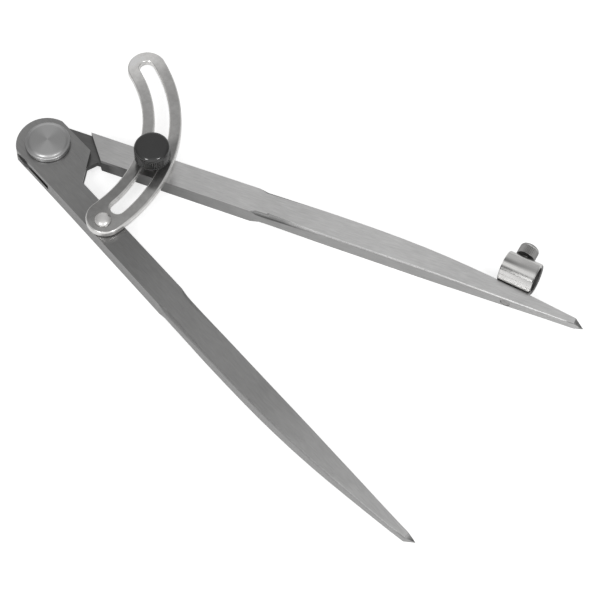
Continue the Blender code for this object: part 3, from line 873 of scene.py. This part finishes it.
def on_outline(tree, given, step, low_angle, half_width, height):
    """Place on the outline after a number of steps, 0 to 4, at a height."""
    gone = math_node(tree, "SUBTRACT", held(tree, step, 0.0), held(tree, step, 2.0))
    turns = math_node(tree, "ADD", held(tree, step, 1.0), held(tree, step, 3.0))
    sweep = math_node(tree, "SUBTRACT", given["Top Angle"], low_angle)
    angle = math_node(tree, "ADD", low_angle, math_node(tree, "MULTIPLY", gone, sweep))
    facing = math_node(tree, "ADD", angle, math_node(tree, "MULTIPLY", turns, math.pi))
    centre = add_node(
        tree, "ShaderNodeCombineXYZ", {0: given["Centre X"], 1: given["Centre Y"], 2: height}
    )
    spine = vector_node(tree, "ADD", centre.outputs[0], pointing(tree, angle, given["Radius"]))
    return vector_node(tree, "ADD", spine, pointing(tree, facing, half_width))


# %% Wall and rim of one outline
def bent_wall(tree, given, low_angle, half_width, inwards):
    """Grid bent into the wall along an outline. inwards is 1 for the plate and -1 for the slot."""
    rows = 2 * ROUND_STEPS + 2
    sheet = add_node(
        tree, "GeometryNodeMeshGrid", {"Vertices X": OUTLINE_STEPS + 1, "Vertices Y": rows}
    )
    index = add_node(tree, "GeometryNodeInputIndex").outputs[0]
    column = math_node(tree, "FLOOR", math_node(tree, "DIVIDE", index, rows))
    row = math_node(tree, "SUBTRACT", index, math_node(tree, "MULTIPLY", column, rows))
    climbed = math_node(tree, "DIVIDE", row, ROUND_STEPS)
    below = held(tree, 1.0, climbed)
    above = held(tree, climbed, 1.0 + 1.0 / ROUND_STEPS)
    bend = math_node(tree, "MULTIPLY", math_node(tree, "ADD", below, above), math.pi / 2)
    left = math_node(tree, "SUBTRACT", 1.0, math_node(tree, "COSINE", bend))
    inset = math_node(tree, "MULTIPLY", math_node(tree, "MULTIPLY", left, given["Round"]), inwards)
    rest = math_node(tree, "SUBTRACT", 1.0, math_node(tree, "SINE", bend))
    rise = math_node(tree, "MULTIPLY", rest, given["Round"])
    upper_half = math_node(tree, "GREATER_THAN", row, ROUND_STEPS + 0.5)
    low_side = math_node(tree, "ADD", given["Bottom"], rise)
    high_side = math_node(tree, "SUBTRACT", given["Top"], rise)
    height = blend_node(tree, upper_half, low_side, high_side)
    step = math_node(tree, "MULTIPLY", column, 4.0 / OUTLINE_STEPS)
    width = math_node(tree, "SUBTRACT", half_width, inset)
    place = on_outline(tree, given, step, low_angle, width, height)
    return add_node(
        tree, "GeometryNodeSetPosition", {"Geometry": sheet.outputs["Mesh"], "Position": place}
    ).outputs[0]


def rim_curve(tree, given, low_angle, half_width):
    """Closed curve along the flat face's edge."""
    ring = add_node(tree, "GeometryNodeMeshCircle", {"Vertices": OUTLINE_STEPS})
    index = add_node(tree, "GeometryNodeInputIndex").outputs[0]
    step = math_node(tree, "MULTIPLY", index, 4.0 / OUTLINE_STEPS)
    place = on_outline(tree, given, step, low_angle, half_width, 0.0)
    laid = add_node(
        tree, "GeometryNodeSetPosition", {"Geometry": ring.outputs[0], "Position": place}
    )
    return add_node(tree, "GeometryNodeMeshToCurve", {"Mesh": laid.outputs[0]}).outputs[0]


def joined(tree, parts):
    """One geometry of several."""
    node = add_node(tree, "GeometryNodeJoinGeometry")
    for part in parts:
        tree.links.new(part, node.inputs[0])
    return node.outputs[0]


# %% The tree of the slotted plate: inputs and outlines
HOLE_SEGMENTS = 40
SEAM_DISTANCE = 2e-6
PLATE_SIZES = (
    "Centre X", "Centre Y", "Radius", "Half Width", "Slot Half Width", "Foot Angle",
    "Slot Low Angle", "Top Angle", "Bottom", "Top", "Round", "Hole X", "Hole Y", "Hole Radius",
)
plate_tree, given = new_tree("slotted_plate", PLATE_SIZES)

face_half = math_node(plate_tree, "SUBTRACT", given["Half Width"], given["Round"])
slot_half = math_node(plate_tree, "ADD", given["Slot Half Width"], given["Round"])
hole_spot = add_node(plate_tree, "ShaderNodeCombineXYZ", {0: given["Hole X"], 1: given["Hole Y"]})
hole_ring = add_node(
    plate_tree,
    "GeometryNodeMeshCircle",
    {"Vertices": HOLE_SEGMENTS, "Radius": given["Hole Radius"]},
)
hole_laid = add_node(
    plate_tree,
    "GeometryNodeSetPosition",
    {"Geometry": hole_ring.outputs[0], "Offset": hole_spot.outputs[0]},
)
hole_curve = add_node(plate_tree, "GeometryNodeMeshToCurve", {"Mesh": hole_laid.outputs[0]})
outlines = joined(
    plate_tree,
    (
        rim_curve(plate_tree, given, given["Foot Angle"], face_half),
        rim_curve(plate_tree, given, given["Slot Low Angle"], slot_half),
        hole_curve.outputs[0],
    ),
)

# %% The tree of the slotted plate: faces and walls
outer_wall = bent_wall(plate_tree, given, given["Foot Angle"], given["Half Width"], 1.0)
slot_wall = bent_wall(plate_tree, given, given["Slot Low Angle"], given["Slot Half Width"], -1.0)
face = add_node(plate_tree, "GeometryNodeFillCurve", {"Curve": outlines}, mode="NGONS").outputs[0]
faces = []
for height in (given["Bottom"], given["Top"]):
    lift = add_node(plate_tree, "ShaderNodeCombineXYZ", {2: height}).outputs[0]
    raised = add_node(plate_tree, "GeometryNodeSetPosition", {"Geometry": face, "Offset": lift})
    faces.append(raised.outputs[0])
depth = math_node(plate_tree, "SUBTRACT", given["Top"], given["Bottom"])
half_depth = math_node(plate_tree, "MULTIPLY", depth, 0.5)
middle = math_node(plate_tree, "ADD", given["Bottom"], half_depth)
hole_middle = add_node(
    plate_tree, "ShaderNodeCombineXYZ", {0: given["Hole X"], 1: given["Hole Y"], 2: middle}
)
hole_wall = add_node(
    plate_tree,
    "GeometryNodeMeshCylinder",
    {"Vertices": HOLE_SEGMENTS, "Radius": given["Hole Radius"], "Depth": depth},
    fill_type="NONE",
)
hole_placed = add_node(
    plate_tree,
    "GeometryNodeSetPosition",
    {"Geometry": hole_wall.outputs["Mesh"], "Offset": hole_middle.outputs[0]},
)
shell = joined(plate_tree, (outer_wall, slot_wall, hole_placed.outputs[0], *faces))
closed = add_node(
    plate_tree, "GeometryNodeMergeByDistance", {"Geometry": shell, "Distance": SEAM_DISTANCE}
)
end_tree(plate_tree, closed.outputs[0], given)
print("slotted_plate:", len(plate_tree.nodes), "nodes")


# %% New objects and outward faces
def blank_object(name, shape=None):
    """Object with an empty mesh, or with the mesh of a bmesh, which is then freed."""
    mesh = bpy.data.meshes.new(name)
    if shape:
        shape.to_mesh(mesh)
        shape.free()
    made = bpy.data.objects.new(name, mesh)
    bpy.context.scene.collection.objects.link(made)
    return made


def outwards(piece):
    """Turn every face of a closed mesh outwards."""
    shape = bmesh.new()
    shape.from_mesh(piece.data)
    bmesh.ops.recalc_face_normals(shape, faces=shape.faces)
    open_edges = sum(1 for edge in shape.edges if not edge.is_manifold)
    shape.to_mesh(piece.data)
    shape.free()
    print(piece.name, len(piece.data.polygons), "faces,", open_edges, "open edges")


# %% The wing itself
wing_low, wing_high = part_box("wing")
wing_plain = run_tree(
    blank_object("wing_plate"),
    plate_tree,
    {
        "Centre X": -0.0116,
        "Centre Y": -0.0035,
        "Radius": 0.0483,
        "Half Width": 0.0066,
        "Slot Half Width": 0.002475,
        "Foot Angle": math.radians(-0.2),
        "Slot Low Angle": math.radians(6.15),
        "Top Angle": math.radians(78.65),
        "Bottom": wing_low.z,
        "Top": wing_high.z,
        "Round": 0.0007,
        "Hole X": 0.0374,
        "Hole Y": -0.0052,
        "Hole Radius": 0.00145,
        "Finish": wing_plate,
    },
)
outwards(wing_plain)
take_in(even_shading(wing_plain, "wing_finished"), "wing", "wing")

# %% [markdown]
# ## Knurls and threads
#
# The heads of both screws are knurled, so that fingers can turn them, and the shanks are
# threaded. Both are ridges pressed or cut into a turned blank, and one rule gives them all: go
# round the axis, and climb with it for a thread. Every point of the blank moves inwards by a
# triangle wave of that path, between a low and a high limit along the axis.

# %% The tree of the ridges
RIDGE_SIZES = ("Count", "Rise", "Depth", "Low", "High", "Fade")
ridge_tree, given = new_tree("ridges", RIDGE_SIZES)

spot = add_node(ridge_tree, "GeometryNodeInputPosition").outputs[0]
flat_spot = vector_node(ridge_tree, "MULTIPLY", spot, (1.0, 1.0, 0.0))
axes = add_node(ridge_tree, "ShaderNodeSeparateXYZ", {0: spot}).outputs
turn = math_node(ridge_tree, "ARCTAN2", axes["Y"], axes["X"])
turns = math_node(ridge_tree, "DIVIDE", turn, math.tau)
round_path = math_node(ridge_tree, "MULTIPLY", turns, given["Count"])
climb = math_node(ridge_tree, "MULTIPLY", axes["Z"], given["Rise"])
path = math_node(ridge_tree, "ADD", round_path, climb)
wave = math_node(ridge_tree, "MULTIPLY", math_node(ridge_tree, "PINGPONG", path, 0.5), 2.0)
from_low = math_node(ridge_tree, "SUBTRACT", axes["Z"], given["Low"])
from_high = math_node(ridge_tree, "SUBTRACT", given["High"], axes["Z"])
over_low = held(ridge_tree, math_node(ridge_tree, "DIVIDE", from_low, given["Fade"]), 0.0)
under_high = held(ridge_tree, math_node(ridge_tree, "DIVIDE", from_high, given["Fade"]), 0.0)
limits = math_node(ridge_tree, "MULTIPLY", over_low, under_high)
limited_wave = math_node(ridge_tree, "MULTIPLY", wave, limits)
inward = math_node(ridge_tree, "MULTIPLY", limited_wave, given["Depth"])
outward_line = add_node(
    ridge_tree, "ShaderNodeVectorMath", {0: flat_spot}, operation="NORMALIZE"
).outputs[0]
push = add_node(
    ridge_tree,
    "ShaderNodeVectorMath",
    {0: outward_line, "Scale": math_node(ridge_tree, "MULTIPLY", inward, -1.0)},
    operation="SCALE",
)
ridged = add_node(
    ridge_tree,
    "GeometryNodeSetPosition",
    {"Geometry": given["Geometry"], "Offset": push.outputs[0]},
)
end_tree(ridge_tree, ridged.outputs[0], given)
print("ridges:", len(ridge_tree.nodes), "nodes")


# %% A turned blank and its cuts
POLE_DISTANCE = 2e-7


def turned_blank(name, profile, segments):
    """Round body about the Z axis from a profile of (radius, height) points."""
    shape = bmesh.new()
    points = [shape.verts.new((radius, 0.0, height)) for radius, height in profile]
    lines = [shape.edges.new(pair) for pair in zip(points, points[1:])]
    bmesh.ops.spin(
        shape,
        geom=points + lines,
        cent=(0.0, 0.0, 0.0),
        axis=(0.0, 0.0, 1.0),
        angle=math.tau,
        steps=segments,
    )
    bmesh.ops.remove_doubles(shape, verts=shape.verts, dist=POLE_DISTANCE)
    bmesh.ops.recalc_face_normals(shape, faces=shape.faces)
    return blank_object(name, shape)


def levels(start, end, count):
    """Evenly spaced heights between two, both left out."""
    return [start + (end - start) * (k + 1) / (count + 1) for k in range(count)]


def finish_screw(blank, cuts, finish, frame_of_axis, node, body):
    """Cut the ridges, put the screw in its place and let it stand for its node."""
    for values in cuts:
        blank = run_tree(blank, ridge_tree, {**values, "Finish": finish})
    blank.data.transform(frame_of_axis)
    outwards(blank)
    take_in(even_shading(blank, node + "_finished"), node, body)


# %% [markdown]
# ## Thumb screw
#
# The black thumb screw has a tall knurled head with a well rounded top, a smooth collar that
# presses on the wing, and a threaded shank that goes through the slot into the leg. Its profile
# is turned round its axis, so the head's round top comes from a few steps of a quarter circle.

# %% Thumb screw: sizes
THUMB_KNURLS = 48
THUMB_KNURL_DEPTH = 0.00034
THUMB_KNURL_FADE = 0.0002
THUMB_PITCH = 0.0007
THUMB_THREAD_DEPTH = 0.0003
THUMB_THREAD_FADE = 0.0004
THUMB_THREAD_STEPS = 60
WING_GAP = 0.00015
COLLAR_HEIGHT = 0.0029
COLLAR_RADIUS = 0.0036
THUMB_SHANK = 0.00195
THUMB_SHANK_END = 0.00165
THUMB_END_CHAMFER = 0.0003
HEAD_CHAMFER = 0.0003
KNURL_MARGIN = 0.0002
KNURL_OVER_HEAD_LOW = 0.00035
KNURL_UNDER_SHOULDER = 0.00005
SHOULDER_STEPS = 8
SHOULDER_ROUND = 0.0015
HEAD_CROWN = 0.00004
CROWN_POINTS = ((0.0, 0.0), (0.0015, 0.000005), (0.0032, 0.00002))

thumb_low, thumb_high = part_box("thumb_screw")
thumb_axis = axis_of("thumb_screw")
head_radius = (thumb_high.x - thumb_low.x) / 2
neck_low = wing_high.z + WING_GAP
head_low = neck_low + COLLAR_HEIGHT
head_top = thumb_high.z
rim_start = head_radius - SHOULDER_ROUND

shoulder = [
    (
        rim_start + SHOULDER_ROUND * math.sin(k / SHOULDER_STEPS * math.pi / 2),
        head_top - HEAD_CROWN - SHOULDER_ROUND * (1 - math.cos(k / SHOULDER_STEPS * math.pi / 2)),
    )
    for k in range(SHOULDER_STEPS + 1)
]
knurl_high = shoulder[-1][1] - KNURL_UNDER_SHOULDER
knurl_low = head_low + KNURL_OVER_HEAD_LOW
end_chamfer = thumb_low.z + THUMB_END_CHAMFER
knurl_levels = (knurl_high, knurl_high - KNURL_MARGIN, knurl_low + KNURL_MARGIN, knurl_low)

# %% Thumb screw: profile and cuts
thumb_profile = [(radius, head_top - drop) for radius, drop in CROWN_POINTS] + shoulder
thumb_profile += [(head_radius, height) for height in knurl_levels]
thumb_profile += [(head_radius - HEAD_CHAMFER, head_low)]
thumb_profile += [(COLLAR_RADIUS, head_low), (COLLAR_RADIUS, neck_low), (THUMB_SHANK, neck_low)]
thread_levels = levels(neck_low, end_chamfer, THUMB_THREAD_STEPS)
thumb_profile += [(THUMB_SHANK, height) for height in thread_levels + [end_chamfer]]
thumb_profile += [(THUMB_SHANK_END, thumb_low.z), (0.0, thumb_low.z)]
thumb_knurl = {
    "Count": THUMB_KNURLS,
    "Rise": 0.0,
    "Depth": THUMB_KNURL_DEPTH,
    "Low": knurl_low,
    "High": knurl_high,
    "Fade": THUMB_KNURL_FADE,
}
thumb_thread = {
    "Count": 1,
    "Rise": 1 / THUMB_PITCH,
    "Depth": THUMB_THREAD_DEPTH,
    "Low": thumb_low.z,
    "High": neck_low,
    "Fade": THUMB_THREAD_FADE,
}
finish_screw(
    turned_blank("thumb_screw_blank", thumb_profile, 2 * THUMB_KNURLS),
    (thumb_knurl, thumb_thread),
    knob_black,
    Matrix.Translation((thumb_axis.x, thumb_axis.y, 0.0)),
    "thumb_screw",
    "thumb",
)

# %% [markdown]
# ## Pencil screw
#
# The small screw lies on its side in the sleeve's far wall. It is turned and cut upright like the
# thumb screw, with its heights measured from the sleeve's axis, and then laid into its place.

# %% Pencil screw
PENCIL_KNURLS = 30
PENCIL_KNURL_DEPTH = 0.00032
PENCIL_KNURL_FADE = 0.0002
PENCIL_KNURL_LOW = 0.0061
PENCIL_KNURL_HIGH = 0.0094
PENCIL_KNURL_LEVELS = (0.0094, 0.0093, 0.0091, 0.0063, 0.0061)
PENCIL_PITCH = 0.0005
PENCIL_THREAD_DEPTH = 0.0002
PENCIL_THREAD_FADE = 0.0003
PENCIL_THREAD_STEPS = 48
PENCIL_HEAD_TOP = (
    (0.0, 0.0103), (0.00245, 0.0103), (0.0028, 0.01022), (0.0031, 0.0100), (0.00325, 0.0097),
)
PENCIL_HEAD = 0.0033
PENCIL_HEAD_UNDER = 0.00325
PENCIL_SHANK = 0.00125
PENCIL_SHANK_END = 0.0010
PENCIL_CHAMFER_LOW = 0.0039
PENCIL_LOW = 0.0036

upright_to_clamp = clamp_line.to_track_quat("Z", "Y").to_matrix().to_4x4()
clamp_frame = Matrix.Translation(clamp_start) @ upright_to_clamp

pencil_profile = list(PENCIL_HEAD_TOP)
pencil_profile += [(PENCIL_HEAD, height) for height in PENCIL_KNURL_LEVELS]
pencil_profile += [(PENCIL_HEAD_UNDER, SCREW_HEAD_LOW), (PENCIL_SHANK, SCREW_HEAD_LOW)]
thread_levels = levels(SCREW_HEAD_LOW, PENCIL_CHAMFER_LOW, PENCIL_THREAD_STEPS)
pencil_profile += [(PENCIL_SHANK, height) for height in thread_levels + [PENCIL_CHAMFER_LOW]]
pencil_profile += [(PENCIL_SHANK_END, PENCIL_LOW), (0.0, PENCIL_LOW)]
pencil_knurl = {
    "Count": PENCIL_KNURLS,
    "Rise": 0.0,
    "Depth": PENCIL_KNURL_DEPTH,
    "Low": PENCIL_KNURL_LOW,
    "High": PENCIL_KNURL_HIGH,
    "Fade": PENCIL_KNURL_FADE,
}
pencil_thread = {
    "Count": 1,
    "Rise": 1 / PENCIL_PITCH,
    "Depth": PENCIL_THREAD_DEPTH,
    "Low": PENCIL_LOW,
    "High": SCREW_HEAD_LOW,
    "Fade": PENCIL_THREAD_FADE,
}
finish_screw(
    turned_blank("pencil_screw_blank", pencil_profile, 2 * PENCIL_KNURLS),
    (pencil_knurl, pencil_thread),
    screw_black,
    clamp_frame,
    "pencil_screw",
    "clamp",
)

# %% [markdown]
# ## Pivot rivet
#
# The large rivet was closed in a press, whose die left a ring round the low dome and a rounded
# shoulder at the rim. The ring is only a few tenths of a millimetre high, but it carries the
# twin highlights, so the rivet is turned again from a finer profile than the solid has.

# %% Pivot rivet
PIVOT_SEGMENTS = 128
RIVET_HEAD_HEIGHT = 0.00265
RIVET_SHANK = 0.0030
RIVET_PROFILE = (
    (0.000, 2.650),
    (0.200, 2.630),
    (0.400, 2.570),
    (0.600, 2.465),
    (0.720, 2.375),
    (0.780, 2.305),
    (0.810, 2.235),
    (0.835, 2.130),
    (0.860, 1.990),
    (0.885, 1.850),
    (0.905, 1.770),
    (0.925, 1.725),
    (0.950, 1.675),
    (0.967, 1.610),
    (0.982, 1.500),
    (0.993, 1.340),
    (1.000, 1.130),
    (1.000, 0.120),
    (0.988, 0.000),
)

pivot_low, pivot_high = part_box("pivot_rivet")
pivot_radius = (pivot_high.x - pivot_low.x) / 2
seat = pivot_high.z - RIVET_HEAD_HEIGHT
pivot_profile = [(share * pivot_radius, seat + height / 1000) for share, height in RIVET_PROFILE]
pivot_profile += [(RIVET_SHANK, seat), (RIVET_SHANK, 0.0), (0.0, 0.0)]
pivot_blank = turned_blank("pivot_blank", pivot_profile, PIVOT_SEGMENTS)
pivot_rivet = even_shading(pivot_blank, "pivot_rivet_finished")
pivot_rivet.data.materials.append(dome_plate)
outwards(pivot_rivet)
take_in(pivot_rivet, "pivot_rivet", "fork")

# %% [markdown]
# ## Legs, small rivets and sleeve
#
# The solids of these pieces already have the right shape, so they only get their soft edges. The
# legs were ground after forging, and the lighter one has edges worn rounder. The rivet through
# the sleeve's leg was filed flush, so its end is a darker disc with a soft rim. The faces of the
# sleeve's bore are given a darker, duller finish.

# %% Legs
soften("fork_leg", 0.00012, 2, fork_steel, "fork")
soften("tongue_leg", 0.0002, 2, tongue_steel, "tongue")

# %% Rivets and sleeve
soften("wing_rivet", 0.00008, 2, rivet_plate, "fork")
soften("sleeve_rivet", 0.00022, 3, rivet_end, "tongue")
sleeve = soften("pencil_sleeve", 0.00008, 2, sleeve_plate, "tongue")

# %% Dull bore of the sleeve
BORE_LIMIT = 0.0043

sleeve.data.materials.append(bore_plate)
for face in sleeve.data.polygons:
    offset = face.center - sleeve_middle
    if (offset - offset.dot(sleeve_line) * sleeve_line).length < BORE_LIMIT:
        face.material_index = 1
print("bore faces:", sum(face.material_index for face in sleeve.data.polygons))

# %% [markdown]
# ## Finish
#
# The view transform is Standard, which shows the colours as they are written.

# %% Last line
bpy.context.scene.view_settings.view_transform = "Standard"
